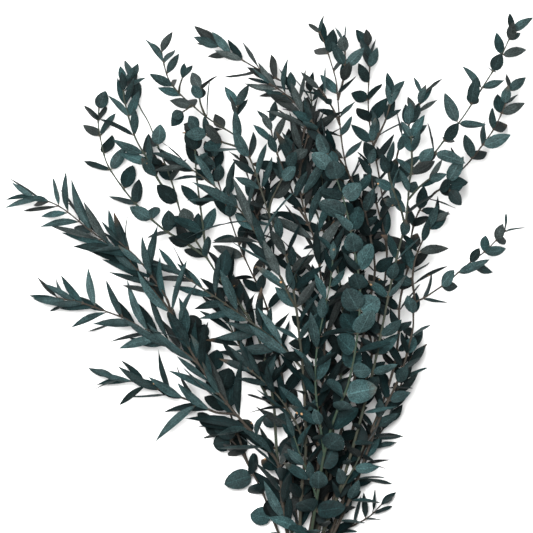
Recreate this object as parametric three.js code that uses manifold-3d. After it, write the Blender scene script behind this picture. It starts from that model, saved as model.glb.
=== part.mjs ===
// A bunch of preserved small-leaved eucalyptus, laid down on a table.
//
// Thirteen cut stems, dyed and kept supple with glycerine, are held together near their cut ends
// by a rubber band. Each stem is one solid: its wood, its side twigs and its leaves, which grow in
// crossed pairs and are narrow, oval or nearly round. No leaf of one stem runs through another.
//
// Millimetres. The table is the plane z = 0. While it is being built, the bunch has its band at
// x = 0, y = 0: x runs across it and y from the cut ends to the tips. At the end it is moved so
// that the middle of its underside is the origin.

import * as THREE from "three";
import { mergeVertices } from "three/addons/utils/BufferGeometryUtils.js";
import Module from "manifold-3d";

const wasm = await Module();
wasm.setup();

const { Vector3 } = THREE;
const UP = new Vector3(0, 0, 1);
const DEGREE = Math.PI / 180;

// Where the stems pass through the band, in three rows that nest like a stack of pipes.
const STEM_RADIUS = 2.1;
const BAND_THICKNESS = 1.2;
const BAND_GAP = 0.3;
const ROW_RISE = 4.1;
const PIPE_PITCH = 4.7;
const LOW_ROW = BAND_THICKNESS + BAND_GAP + STEM_RADIUS;
const MIDDLE_ROW = LOW_ROW + ROW_RISE;
const TOP_ROW = MIDDLE_ROW + ROW_RISE;

// The leaves: length and width of a grown one, the distance between pairs, how far it leans away
// from its twig, the powers that shape its outline towards the base and towards the tip, how long
// the youngest one is beside a grown one, how far it may sway sideways and curl, and how strongly
// its stalk keeps it from turning a face up. group: of so many pairs, counted from the tip, the
// first is a solid, so that the whole stays light. UNEVEN is how far the leaves differ, in degrees
// or in shares, FALLEN is the share of them that have come off, and GROWTH is how much longer each
// pair is than the one above it, as a share of a grown leaf.
const LEAVES = {
  narrow: {
    length: 54, width: 9.5, pitch: 14, lean: 36, base: 0.9, tip: 1.1, young: 0.55,
    sway: 0.3, curl: 0.3, stiff: 1.1, group: 4,
  },
  slim: {
    length: 38, width: 10.5, pitch: 17, lean: 46, base: 0.8, tip: 1.05, young: 0.64,
    sway: 0.2, curl: 0.22, stiff: 1.4, group: 4,
  },
  oval: {
    length: 30, width: 12, pitch: 20, lean: 50, base: 0.65, tip: 0.95, young: 0.75,
    sway: 0.1, curl: 0.18, stiff: 1.7, group: 3,
  },
  broad: {
    length: 30, width: 15, pitch: 22, lean: 50, base: 0.6, tip: 0.85, young: 0.7,
    sway: 0.06, curl: 0.16, stiff: 1.6, group: 3,
  },
  round: {
    length: 31, width: 21, pitch: 22, lean: 50, base: 0.5, tip: 0.68, young: 0.65,
    sway: 0.04, curl: 0.14, stiff: 1.2, group: 3,
  },
};
const UNEVEN = { turn: 28, lean: 18, roll: 24, pitch: 0.25, length: 0.22, width: 0.18 };
const FALLEN = 0.06;
const GROWTH = 0.06;
const BLADE_THICKNESS = 1.1;
const STALK_WIDTH = 1.2;
const STALK_LENGTH = 5;
const BLADE_ROWS = [0.35, 0.68];
const FIRST_PAIR_FROM_TIP = 2.5;

// A leaf that finds its place taken is turned round its twig and leaned, in degrees, in this order.
const TURNS_TRIED = [
  [0, 0], [14, 0], [-14, 0], [0, 12], [0, -12], [28, 6], [-28, 6], [22, -14], [-22, -14],
  [50, 8], [-50, 8], [80, 0], [-80, 0],
];
const CLEARANCE = 0.8;
const ROOT_SHARE = 0.3;

// A leaf whose tip would end this close over the table, or under it, bends until it rests on it.
const REACH_OF_TABLE = 9;
const STRONGEST_CURL = 0.42;
const PRESSED_FLAT = 0.25;

// The stems, from the top of the heap to the bottom. through: where it passes through the band.
// route: its line beyond the band. fork: the point of that line which a side twig grows from.
// turn: how far the pairs are turned round the twig. bare: its length without leaves.
const STEMS = [
  {
    name: "front_round_leaf_stem", through: [-2.35, TOP_ROW], cut: -44, turn: 70, leaf: "round",
    bare: 52,
    route: [
      [4, 60, 34], [10, 100, 54], [17, 145, 74], [28, 185, 90], [40, 215, 100], [47, 248, 109],
      [51, 282, 115], [52, 310, 118], [49, 335, 120], [45, 355, 120], [41, 378, 119],
      [35, 402, 117], [27, 425, 114], [19, 445, 110],
    ],
    twigs: [
      {
        fork: 2, turn: 20, leaf: "slim",
        route: [
          [14, 170, 84], [10, 195, 90], [8, 225, 96], [10, 255, 100], [17, 290, 104],
          [23, 320, 106], [26, 350, 107],
        ],
      },
      { fork: 1, turn: 45, leaf: "slim", route: [[3, 122, 63], [-6, 143, 70], [-13, 164, 74]] },
    ],
  },
  {
    name: "centre_left_stem", through: [-7.05, TOP_ROW], cut: -38, turn: 35, leaf: "slim",
    bare: 46,
    route: [
      [-7, 60, 28], [-5, 110, 44], [-1, 150, 56], [-2, 190, 66], [-4, 230, 75], [-8, 267, 82],
      [-11, 293, 86], [-19, 337, 90], [-29, 364, 92], [-38, 386, 92], [-46, 410, 91],
      [-52, 428, 89], [-58, 443, 87], [-71, 463, 84], [-86, 473, 81], [-101, 483, 77],
      [-115, 495, 73], [-128, 507, 69], [-138, 520, 65], [-143, 535, 61], [-146, 550, 58],
    ],
    twigs: [
      {
        fork: 6, turn: 75, leaf: "narrow",
        route: [
          [-18, 305, 92], [-25, 320, 98], [-36, 338, 102], [-46, 357, 105], [-58, 378, 106],
          [-70, 393, 105], [-83, 405, 103], [-98, 418, 99], [-115, 430, 94], [-128, 438, 90],
        ],
      },
      { fork: 13, turn: 40, leaf: "slim", route: [[-73, 470, 87], [-71, 482, 90], [-69, 494, 91]] },
      {
        fork: 4, turn: 20, leaf: "narrow",
        route: [
          [-14, 242, 74], [-28, 256, 71], [-43, 268, 68], [-58, 279, 65], [-72, 289, 62],
          [-86, 299, 60], [-101, 309, 58], [-116, 319, 56], [-129, 328, 54],
        ],
      },
      {
        fork: 2, turn: 55, leaf: "narrow",
        route: [[-9, 172, 62], [-19, 190, 66], [-31, 206, 68], [-45, 220, 69], [-60, 232, 68]],
      },
      { fork: 15, turn: 30, leaf: "broad", route: [[-104, 490, 83], [-107, 500, 87], [-106, 512, 88]] },
      { fork: 17, turn: 60, leaf: "slim", route: [[-127, 514, 75], [-124, 523, 78]] },
      { fork: 16, turn: 75, leaf: "broad", route: [[-119, 491, 80], [-125, 487, 84]] },
      {
        fork: 9, turn: 20, leaf: "broad",
        route: [[-36, 398, 97], [-29, 413, 101], [-21, 428, 103], [-14, 442, 104]],
      },
      {
        fork: 12, turn: 60, leaf: "broad",
        route: [[-70, 452, 91], [-84, 457, 91], [-98, 463, 89], [-110, 471, 86]],
      },
    ],
  },
  {
    name: "upper_right_stem", through: [2.35, TOP_ROW], cut: -46, turn: 15, leaf: "oval",
    bare: 50,
    route: [
      [15, 60, 30], [30, 100, 46], [44, 145, 61], [56, 190, 73], [68, 240, 84], [78, 290, 92],
      [86, 330, 97], [92, 355, 99], [97, 375, 100], [100, 400, 100], [103, 425, 99],
      [112, 437, 98], [123, 443, 97], [137, 460, 94], [152, 478, 90], [167, 500, 85],
      [180, 520, 80], [190, 536, 75], [199, 554, 70], [206, 570, 66],
    ],
    twigs: [
      { fork: 10, turn: 60, leaf: "oval", route: [[104, 445, 103], [103, 460, 105], [100, 475, 106]] },
      { fork: 1, turn: 35, leaf: "oval", route: [[40, 119, 54], [50, 137, 60], [57, 155, 64]] },
      { fork: 9, turn: 50, leaf: "oval", route: [[107, 408, 105], [115, 416, 108], [122, 421, 109]] },
      {
        fork: 8, turn: 20, leaf: "oval",
        route: [[93, 388, 105], [87, 404, 108], [82, 420, 109], [79, 436, 108]],
      },
    ],
  },
  {
    name: "left_narrow_leaf_stem", through: [-4.7, MIDDLE_ROW], cut: -40, turn: 60, leaf: "narrow",
    bare: 62,
    route: [
      [-9, 35, 13], [-20, 67, 22], [-25, 100, 31], [-29, 135, 40], [-46, 157, 47],
      [-71, 185, 54], [-91, 210, 58], [-108, 235, 60], [-121, 257, 60], [-136, 287, 58],
      [-158, 315, 55], [-180, 340, 52], [-218, 370, 46], [-251, 395, 40], [-276, 404, 35],
    ],
    twigs: [
      {
        fork: 7, turn: 30, leaf: "narrow",
        route: [
          [-118, 244, 58], [-142, 259, 50], [-159, 267, 45], [-181, 280, 40], [-199, 287, 36],
          [-228, 297, 32], [-253, 302, 28],
        ],
      },
      {
        fork: 5, turn: 80, leaf: "narrow",
        route: [
          [-92, 187, 46], [-109, 195, 40], [-128, 202, 35], [-145, 208, 31], [-168, 215, 27],
          [-196, 223, 24],
        ],
      },
      {
        fork: 9, turn: 50, leaf: "narrow",
        route: [[-141, 301, 65], [-154, 322, 69], [-170, 342, 69], [-188, 358, 66]],
      },
    ],
  },
  {
    name: "right_oval_leaf_stem", through: [7.05, TOP_ROW], cut: -42, turn: 25, leaf: "oval",
    bare: 50,
    route: [
      [26, 60, 26], [44, 100, 36], [60, 145, 46], [75, 185, 54], [87, 210, 60], [95, 228, 64],
      [101, 250, 67], [106, 272, 70], [108, 297, 72], [117, 302, 72], [129, 310, 71],
      [141, 318, 69], [152, 328, 67], [164, 338, 65], [179, 349, 62], [190, 360, 59],
      [200, 370, 57],
    ],
    twigs: [
      {
        fork: 8, turn: 70, leaf: "slim",
        route: [[107, 317, 78], [107, 335, 82], [111, 350, 85], [118, 365, 87], [127, 380, 88]],
      },
    ],
  },
  {
    name: "top_centre_stem", through: [4.7, MIDDLE_ROW], cut: -36, turn: 50, leaf: "oval",
    bare: 46,
    route: [
      [11, 60, 18], [20, 100, 28], [30, 150, 39], [42, 195, 48], [53, 245, 56], [62, 295, 62],
      [68, 330, 65], [64, 360, 67], [58, 388, 68], [50, 410, 69], [41, 428, 69], [36, 450, 69],
      [33, 475, 68], [31, 500, 67], [29, 520, 65], [24, 538, 63], [18, 557, 60], [12, 570, 57],
    ],
    twigs: [
      {
        fork: 13, turn: 10, leaf: "oval",
        route: [[35, 515, 72], [38, 530, 75], [38, 545, 77], [37, 558, 78]],
      },
      { fork: 12, turn: 65, leaf: "slim", route: [[27, 489, 74], [19, 502, 77], [12, 512, 78]] },
      {
        fork: 10, turn: 30, leaf: "oval",
        route: [[33, 440, 75], [22, 454, 78], [12, 467, 79], [4, 480, 78]],
      },
    ],
  },
  {
    name: "right_thick_stem", through: [9.4, MIDDLE_ROW], cut: -48, turn: 30, leaf: "oval",
    bare: 52,
    route: [
      [24, 60, 16], [38, 100, 26], [54, 140, 35], [70, 180, 43], [81, 210, 48], [88, 235, 51],
      [92, 265, 54], [93, 295, 56], [98, 320, 57], [104, 342, 58], [105, 365, 58],
      [112, 388, 58], [124, 403, 57], [142, 418, 55], [155, 430, 53], [166, 442, 51],
      [177, 456, 49], [187, 470, 47], [194, 483, 45], [200, 497, 43], [205, 512, 41],
    ],
    twigs: [
      {
        fork: 1, turn: 55, leaf: "slim",
        route: [[52, 120, 22], [64, 145, 19], [75, 165, 17], [84, 177, 16]],
      },
      { fork: 0, turn: 65, leaf: "slim", route: [[36, 66, 13], [50, 72, 12], [64, 80, 12], [77, 93, 12]] },
      {
        fork: 3, turn: 75, leaf: "slim",
        route: [[84, 195, 38], [94, 212, 35], [102, 231, 33], [108, 252, 32]],
      },
      { fork: 12, turn: 25, leaf: "broad", route: [[130, 409, 63], [137, 411, 66], [144, 410, 67]] },
    ],
  },
  {
    name: "centre_narrow_leaf_stem", through: [0, MIDDLE_ROW], cut: -34, turn: 45, leaf: "narrow",
    bare: 44,
    route: [
      [3, 60, 15], [10, 100, 23], [12, 140, 30], [14, 180, 36], [17, 230, 42], [18, 280, 46],
      [16, 308, 48], [12, 338, 50], [8, 360, 51], [1, 378, 52], [-5, 400, 53], [-7, 425, 54],
      [-3, 450, 57], [1, 468, 61], [-3, 483, 63], [-12, 497, 64], [-24, 508, 64], [-38, 517, 62],
    ],
    twigs: [
      {
        fork: 11, turn: 45, leaf: "slim",
        route: [
          [-6, 450, 53], [-2, 470, 53], [-3, 487, 53], [-10, 505, 53], [-21, 517, 52],
          [-40, 527, 50], [-58, 537, 48], [-78, 549, 45], [-96, 560, 42],
        ],
      },
      {
        fork: 9, turn: 35, leaf: "slim",
        route: [
          [-8, 393, 57], [-16, 412, 60], [-24, 432, 61], [-31, 450, 60], [-35, 466, 58],
          [-37, 480, 56],
        ],
      },
    ],
  },
  {
    name: "left_oval_leaf_stem", through: [-7.05, LOW_ROW], cut: -45, turn: 65, leaf: "broad",
    bare: 60,
    route: [
      [-14, 60, 12], [-22, 95, 18], [-29, 135, 25], [-31, 160, 29], [-33, 192, 33],
      [-40, 230, 38], [-50, 265, 42], [-65, 292, 45], [-83, 315, 47], [-101, 343, 48],
      [-116, 367, 48], [-126, 385, 47], [-133, 410, 46], [-140, 430, 45], [-151, 458, 43],
      [-160, 480, 41], [-167, 492, 39], [-175, 510, 36], [-177, 525, 33],
    ],
    twigs: [
      {
        fork: 9, turn: 25, leaf: "broad",
        route: [
          [-123, 358, 42], [-143, 370, 37], [-163, 387, 32], [-178, 403, 28], [-193, 423, 25],
          [-202, 438, 23], [-208, 460, 21], [-211, 480, 20], [-210, 495, 20],
        ],
      },
      {
        fork: 9, turn: 50, leaf: "broad",
        route: [
          [-104, 372, 58], [-106, 388, 62], [-109, 411, 66], [-111, 430, 68], [-112, 450, 70],
          [-114, 465, 71],
        ],
      },
      {
        fork: 12, turn: 35, leaf: "slim",
        route: [
          [-145, 414, 50], [-158, 438, 54], [-170, 458, 55], [-176, 473, 55], [-180, 488, 54],
          [-184, 505, 52], [-184, 520, 50],
        ],
      },
      {
        fork: 4, turn: 40, leaf: "narrow",
        route: [[-46, 213, 37], [-59, 237, 41], [-71, 261, 43], [-82, 284, 44]],
      },
    ],
  },
  {
    name: "top_right_stem", through: [7.05, LOW_ROW], cut: -41, turn: 40, leaf: "oval",
    bare: 48,
    route: [
      [16, 60, 10], [28, 100, 16], [36, 135, 21], [47, 170, 25], [58, 210, 29], [67, 250, 32],
      [74, 290, 34], [79, 320, 35], [81, 350, 36], [79, 380, 37], [76, 405, 38], [72, 430, 38],
      [67, 455, 38], [63, 482, 37], [62, 505, 36], [63, 525, 35], [64, 545, 33], [62, 558, 32],
    ],
    twigs: [
      {
        fork: 10, turn: 15, leaf: "slim",
        route: [
          [87, 422, 40], [90, 440, 42], [95, 460, 44], [104, 478, 45], [112, 492, 45],
          [117, 508, 44],
        ],
      },
      {
        fork: 5, turn: 60, leaf: "oval",
        route: [[59, 280, 39], [53, 310, 43], [51, 340, 44], [55, 370, 44], [60, 395, 43]],
      },
      {
        fork: 8, turn: 30, leaf: "oval",
        route: [[77, 370, 44], [71, 393, 49], [66, 416, 51], [63, 438, 51]],
      },
      {
        fork: 12, turn: 75, leaf: "slim",
        route: [[73, 467, 43], [79, 480, 46], [83, 494, 47], [85, 508, 47]],
      },
    ],
  },
  {
    name: "low_left_stem", through: [-9.4, MIDDLE_ROW], cut: -37, turn: 30, leaf: "round",
    bare: 50,
    route: [
      [-20, 45, 8], [-30, 67, 9], [-37, 85, 10], [-46, 108, 12], [-57, 128, 14],
      [-68, 148, 16], [-82, 163, 17], [-95, 172, 18],
    ],
    twigs: [
      {
        fork: 4, turn: 55, leaf: "round",
        route: [
          [-65, 150, 21], [-74, 176, 26], [-84, 203, 29], [-95, 230, 30], [-105, 252, 30],
          [-112, 270, 29],
        ],
      },
    ],
  },
  {
    name: "back_left_stem", through: [-2.35, LOW_ROW], cut: -47, turn: 55, leaf: "oval",
    bare: 46,
    route: [
      [-8, 60, 8], [-13, 100, 13], [-16, 140, 17], [-20, 190, 20], [-28, 240, 22],
      [-36, 278, 23], [-46, 308, 24], [-57, 330, 25], [-68, 355, 25], [-75, 375, 25],
      [-83, 400, 24], [-91, 425, 22], [-95, 445, 21],
    ],
    twigs: [
      {
        fork: 6, turn: 20, leaf: "slim",
        route: [[-43, 338, 30], [-46, 365, 32], [-53, 395, 33], [-58, 420, 33], [-65, 440, 32]],
      },
      {
        fork: 4, turn: 50, leaf: "narrow",
        route: [[-41, 257, 27], [-53, 274, 32], [-64, 291, 35], [-74, 308, 37], [-82, 323, 37]],
      },
      {
        fork: 8, turn: 80, leaf: "slim",
        route: [[-60, 368, 33], [-50, 384, 38], [-42, 402, 40], [-36, 420, 40]],
      },
    ],
  },
  {
    name: "back_centre_stem", through: [2.35, LOW_ROW], cut: -39, turn: 65, leaf: "slim",
    bare: 46,
    route: [
      [9, 60, 8], [17, 100, 12], [24, 150, 16], [32, 200, 19], [37, 250, 21], [36, 300, 22],
      [30, 340, 23], [22, 385, 24], [15, 425, 25], [10, 460, 25], [6, 490, 25], [4, 512, 24],
    ],
    twigs: [
      {
        fork: 4, turn: 30, leaf: "oval",
        route: [[44, 280, 24], [49, 320, 26], [48, 360, 27], [44, 395, 27], [42, 420, 26]],
      },
      {
        fork: 6, turn: 45, leaf: "oval",
        route: [[21, 360, 29], [11, 385, 33], [2, 410, 35], [-8, 436, 36], [-16, 456, 35]],
      },
      {
        fork: 3, turn: 70, leaf: "oval",
        route: [[19, 225, 25], [8, 250, 29], [-1, 280, 31], [-8, 310, 32], [-14, 335, 32]],
      },
    ],
  },
];
const TIP_RADIUS = 0.9;
const TWIG_RADIUS = 1.3;
const STEM_SIDES = 4;
const TWIG_SIDES = 3;
const WOOD_STEP = 34;
const STRAIGHT_END = 9;
const TWIG_BARE = 12;

const BAND_WIDTH = 8;
const BAND_ROUNDNESS = 2;
const BAND_INK = 0x9a7b55;
const LEAF_INKS = {
  narrow: 0x3c5759, slim: 0x38504f, oval: 0x3f5c5c, broad: 0x426061, round: 0x456566,
};

// A closed geometry as a solid that can be joined and cut.
function solidOf(geometry) {
  const bare = geometry.clone();
  bare.deleteAttribute("normal");
  bare.deleteAttribute("uv");
  const merged = mergeVertices(bare, 1e-4);
  return new wasm.Manifold(
    new wasm.Mesh({
      numProp: 3,
      vertProperties: merged.attributes.position.array,
      triVerts: new Uint32Array(merged.index.array),
    }),
  );
}

function geometryOf(solid) {
  const { numProp, vertProperties, triVerts } = solid.getMesh();
  const positions = [];
  for (let i = 0; i < vertProperties.length; i += numProp) {
    positions.push(vertProperties[i], vertProperties[i + 1], vertProperties[i + 2]);
  }
  const geometry = new THREE.BufferGeometry();
  geometry.setAttribute("position", new THREE.Float32BufferAttribute(positions, 3));
  geometry.setIndex([...triVerts]);
  geometry.computeVertexNormals();
  return geometry;
}

// Draws between 0 and 1 that come out the same each time for the same seed.
function drawsFrom(seed) {
  let state = seed >>> 0;
  return () => {
    state = (state + 0x6d2b79f5) >>> 0;
    let mixed = Math.imul(state ^ (state >>> 15), state | 1);
    mixed ^= mixed + Math.imul(mixed ^ (mixed >>> 7), mixed | 61);
    return ((mixed ^ (mixed >>> 14)) >>> 0) / 4294967296;
  };
}

// A point of a twig's line, with the directions along it, level across it and upward from it.
function frameAt(curve, share) {
  const along = curve.getTangentAt(share);
  const across = new Vector3().crossVectors(along, UP).normalize();
  const above = new Vector3().crossVectors(across, along);
  return { point: curve.getPointAt(share), along, across, above };
}

// Where a piece of wood has its rings, as shares of its length. The first stretch is straight.
function ringShares(length, straight) {
  const steps = Math.max(2, Math.round((length - straight) / WOOD_STEP));
  const start = straight / length;
  const ring = (_, i) => THREE.MathUtils.lerp(start, 1, i / steps);
  const rings = Array.from({ length: steps + 1 }, ring);
  return straight > 0 ? [0, ...rings] : rings;
}

// A tapered rod with a ring of corners at each share of its line.
function rod(curve, shares, baseRadius, tipRadius, sides) {
  const geometry = new THREE.CylinderGeometry(1, 1, 1, sides, shares.length - 1);
  const position = geometry.attributes.position;
  for (let i = 0; i < position.count; i++) {
    const share = shares[Math.round((position.getY(i) + 0.5) * (shares.length - 1))];
    const frame = frameAt(curve, share);
    const radius = THREE.MathUtils.lerp(baseRadius, tipRadius, share);
    frame.point.addScaledVector(frame.across, position.getX(i) * radius);
    frame.point.addScaledVector(frame.above, position.getZ(i) * radius);
    position.setXYZ(i, frame.point.x, frame.point.y, frame.point.z);
  }
  return solidOf(geometry);
}

// The point inside the wood at a share of its length: between two rings the rod runs straight.
function pointInWood(line, share) {
  const next = Math.max(1, line.shares.findIndex((ring) => ring >= share));
  const [from, to] = [line.shares[next - 1], line.shares[next]];
  const start = line.curve.getPointAt(from);
  return start.lerp(line.curve.getPointAt(to), (share - from) / (to - from));
}

// Half the width of a leaf at a share of its length: its stalk's at the base, widest where the two
// powers balance, and a point at the tip.
function halfWidth(kind, share) {
  const widest = kind.base / (kind.base + kind.tip);
  const rise = (share / widest) ** kind.base;
  const fall = ((1 - share) / (1 - widest)) ** kind.tip;
  return (kind.width / 2) * rise * fall;
}

// How one leaf stands: its root, the directions along, across and out of its blade, its size and
// its bends. An even pair stands level and the next one upright, as crossed pairs do.
function standLeaf(twig, place, turned, leaned) {
  const kind = LEAVES[twig.leaf];
  const draw = drawsFrom(place.seed);
  const spread = (range) => (draw() - 0.5) * 2 * range;
  const share = 1 - place.fromTip / twig.length;
  const frame = frameAt(twig.curve, share);
  const round = (twig.turn + 90 * place.pair + 180 * place.side + spread(UNEVEN.turn) + turned) * DEGREE;
  const youngLean = Math.min(1, 0.55 + 0.15 * place.pair);
  const lean = (kind.lean * youngLean + spread(UNEVEN.lean) + leaned) * DEGREE;
  const outward = frame.across.clone().multiplyScalar(Math.cos(round));
  outward.addScaledVector(frame.above, Math.sin(round));
  const along = frame.along.clone().multiplyScalar(Math.cos(lean));
  along.addScaledVector(outward, Math.sin(lean));
  const face = frame.along.clone().multiplyScalar(Math.sin(lean));
  face.addScaledVector(outward, -Math.cos(lean));
  const across = new Vector3().crossVectors(along, face);

  // A leaf lying in a heap turns one of its faces up, more or less.
  const settled = draw() ** kind.stiff;
  const lift = UP.clone().addScaledVector(along, -along.dot(UP)).normalize();
  let toFace = Math.atan2(lift.dot(across), lift.dot(face));
  if (Math.abs(toFace) > Math.PI / 2) toFace -= Math.sign(toFace) * Math.PI;
  const roll = toFace * settled + spread(UNEVEN.roll) * DEGREE;
  const turnedFace = face.clone().multiplyScalar(Math.cos(roll));
  turnedFace.addScaledVector(across, Math.sin(roll));

  const young = Math.min(1, kind.young + GROWTH * place.pair);
  const leaf = {
    kind,
    root: pointInWood(twig, share),
    along,
    face: turnedFace,
    across: new Vector3().crossVectors(along, turnedFace),
    length: kind.length * young * (1 + spread(UNEVEN.length)),
    widthScale: young ** 0.6 * (1 + spread(UNEVEN.width)),
    sway: spread(kind.sway),
    curl: -0.03 + spread(kind.curl),
  };
  return restOnTable(leaf);
}

// Bends a leaf that comes near the table until its tip rests on it.
function restOnTable(leaf) {
  const tip = bladePoint(leaf, 1, 0, 0);
  const liftOfCurl = leaf.length * leaf.face.z;
  if (tip.z < REACH_OF_TABLE && Math.abs(liftOfCurl) > 1) {
    const needed = leaf.curl - tip.z / liftOfCurl;
    const slopeAtTip = leaf.along.z + 2 * needed * leaf.face.z + 2 * leaf.sway * leaf.across.z;
    if (Math.abs(needed) < STRONGEST_CURL && slopeAtTip <= 0) leaf.curl = needed;
  }
  return leaf;
}

// A point of the leaf: a share of its length, a distance across the blade and one out of it.
function bladePoint(leaf, share, aside, out) {
  const bend = leaf.length * share * share;
  return leaf.root
    .clone()
    .addScaledVector(leaf.along, leaf.length * share)
    .addScaledVector(leaf.across, leaf.sway * bend + aside)
    .addScaledVector(leaf.face, leaf.curl * bend + out);
}

// The blade is a three-sided ball drawn out flat: two sharp edges and the keel of its midrib. It
// starts as a point inside the wood, and its first row is the end of the stalk.
// spare fattens it all round, and from is the share of the length that it starts at.
function blade(leaf, spare = 0, from = 0) {
  const rows = [0, STALK_LENGTH / leaf.length, ...BLADE_ROWS, 1];
  const geometry = new THREE.SphereGeometry(1, 3, rows.length - 1);
  const { position, uv } = geometry.attributes;
  for (let i = 0; i < position.count; i++) {
    const row = Math.round((1 - uv.getY(i)) * (rows.length - 1));
    const corner = Math.round(uv.getX(i) * 3) % 3;
    const share = from + (1 - from) * rows[row];
    const ends = row === 0 || row === rows.length - 1;
    const stalk = row === 1 ? STALK_WIDTH / 2 : 0;
    const width = Math.max(halfWidth(leaf.kind, share) * leaf.widthScale, stalk) + spare;
    const thickness = BLADE_THICKNESS * (1.1 - 0.5 * share) + 2 * spare;
    const aside = ends ? 0 : [0, width, -width][corner];
    const out = ends ? 0 : [-0.6, 0.4, 0.4][corner] * thickness;
    const point = bladePoint(leaf, share, aside, out);
    position.setXYZ(i, point.x, point.y, point.z);
  }
  return solidOf(geometry);
}

function boxOf(solid) {
  const { min, max } = solid.boundingBox();
  return new THREE.Box3(new Vector3(...min), new Vector3(...max));
}

// Whether a trial blade is clear of each of the pieces near it.
function isClear(trial, pieces) {
  const box = boxOf(trial);
  return pieces.every((piece) => {
    if (!box.intersectsBox(piece.box)) return true;
    const common = trial.intersect(piece.solid);
    const clear = common.isEmpty();
    common.delete();
    return clear;
  });
}

// The places of a twig's leaves, pair by pair, counted from its tip.
function leafPlaces(twig, stemNumber, twigNumber) {
  const places = [];
  const { pitch } = LEAVES[twig.leaf];
  let fromTip = FIRST_PAIR_FROM_TIP;
  for (let pair = 0; fromTip < twig.length - twig.bare; pair++) {
    const seed = 1 + stemNumber * 100000 + twigNumber * 10000 + pair * 10;
    for (const side of [0, 1]) {
      const leaf = { pair, side, fromTip, seed: seed + side };
      if (drawsFrom(seed + 2 + side)() > FALLEN) places.push(leaf);
    }
    const uneven = 1 + (drawsFrom(seed + 4)() - 0.5) * 2 * UNEVEN.pitch;
    fromTip += pitch * Math.min(1, 0.55 + 0.15 * pair) * uneven;
  }
  return places;
}

function curveThrough(points) {
  return new THREE.CatmullRomCurve3(points.map((p) => new Vector3(...p)), false, "centripetal");
}

function woodAlong(line, straight, baseRadius, sides) {
  const curve = curveThrough(line.route);
  const length = curve.getLength();
  const shares = ringShares(length, straight);
  const solid = rod(curve, shares, baseRadius, TIP_RADIUS, sides);
  return { ...line, curve, length, shares, solid, box: boxOf(solid) };
}

// A stem's own wood and its side twigs', each of which starts inside the stem.
function growWood(stem) {
  const [x, z] = stem.through;
  const handle = [[x, stem.cut, z], [x, -STRAIGHT_END, z], [x, STRAIGHT_END, z]];
  const whole = { ...stem, route: [...handle, ...stem.route], bare: stem.bare - stem.cut };
  const main = woodAlong(whole, STRAIGHT_END - stem.cut, STEM_RADIUS, STEM_SIDES);
  const twigs = stem.twigs.map((twig) => {
    const forkShare = nearestShare(main, new Vector3(...stem.route[twig.fork]));
    const line = { ...twig, bare: TWIG_BARE, route: [pointInWood(main, forkShare), ...twig.route] };
    return woodAlong(line, 0, TWIG_RADIUS, TWIG_SIDES);
  });
  return [main, ...twigs];
}

function nearestShare(line, target) {
  const samples = 400;
  const shares = Array.from({ length: samples + 1 }, (_, i) => i / samples);
  const distance = (share) => pointInWood(line, share).distanceTo(target);
  return shares.reduce((best, share) => (distance(share) < distance(best) ? share : best));
}

// Puts a leaf in the first position that is clear of the table and of all that is there already.
function placeLeaf(twig, place, ownPieces, otherPieces) {
  for (const [turned, leaned] of TURNS_TRIED) {
    const leaf = standLeaf(twig, place, turned, leaned);
    const stout = blade(leaf, CLEARANCE / 2);
    const outer = blade(leaf, CLEARANCE / 2, ROOT_SHARE);
    const solid = blade(leaf);
    const overTable = boxOf(solid).min.z > -PRESSED_FLAT;
    const clear = overTable && isClear(outer, ownPieces) && isClear(stout, otherPieces);
    stout.delete();
    outer.delete();
    if (clear) return { solid, box: boxOf(solid) };
    solid.delete();
  }
  return null;
}

function growBunch() {
  const wood = STEMS.map(growWood);
  const leaves = STEMS.map(() => []);
  wood.forEach((lines, stemNumber) => {
    const otherWood = wood.filter((_, n) => n !== stemNumber).flat();
    lines.forEach((twig, twigNumber) => {
      for (const place of leafPlaces(twig, stemNumber, twigNumber)) {
        if (place.pair % LEAVES[twig.leaf].group > 0) continue;
        const otherLeaves = leaves.filter((_, n) => n !== stemNumber).flat();
        const own = [...lines, ...leaves[stemNumber]];
        const leaf = placeLeaf(twig, place, own, [...otherWood, ...otherLeaves]);
        if (leaf) leaves[stemNumber].push(leaf);
      }
    });
  });
  return wood.map((lines, n) => [...lines, ...leaves[n]].map((piece) => piece.solid));
}

// The part of the room over the table, which trims what is pressed flat on it.
function roomOverTable() {
  const size = 2000;
  return solidOf(new THREE.BoxGeometry(size, size, size).translate(0, 0, size / 2));
}

// The band's line round the bundle: straight between the outer stems and round each of them.
function bandOutline(distance, PathType) {
  const middle = 2 * PIPE_PITCH;
  const outer = 1.5 * PIPE_PITCH;
  const corners = [
    [outer, LOW_ROW, -90, -30], [middle, MIDDLE_ROW, -30, 30], [outer, TOP_ROW, 30, 90],
    [-outer, TOP_ROW, 90, 150], [-middle, MIDDLE_ROW, 150, 210], [-outer, LOW_ROW, 210, 270],
  ];
  const path = new PathType();
  for (const [x, z, from, to] of corners) {
    path.absarc(x, z, STEM_RADIUS + distance, from * DEGREE, to * DEGREE, false);
  }
  path.closePath();
  return path;
}

function rubberBand() {
  const shape = bandOutline(BAND_GAP + BAND_THICKNESS, THREE.Shape);
  shape.holes.push(bandOutline(BAND_GAP, THREE.Path));
  const geometry = new THREE.ExtrudeGeometry(shape, {
    depth: BAND_WIDTH, bevelEnabled: false, curveSegments: BAND_ROUNDNESS,
  });
  return solidOf(geometry.rotateX(Math.PI / 2).translate(0, BAND_WIDTH / 2, 0));
}

function meshOf(name, solid, colour) {
  const material = new THREE.MeshStandardMaterial({ color: colour, roughness: 0.7, metalness: 0 });
  const mesh = new THREE.Mesh(geometryOf(solid), material);
  mesh.name = name;
  return mesh;
}

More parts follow.
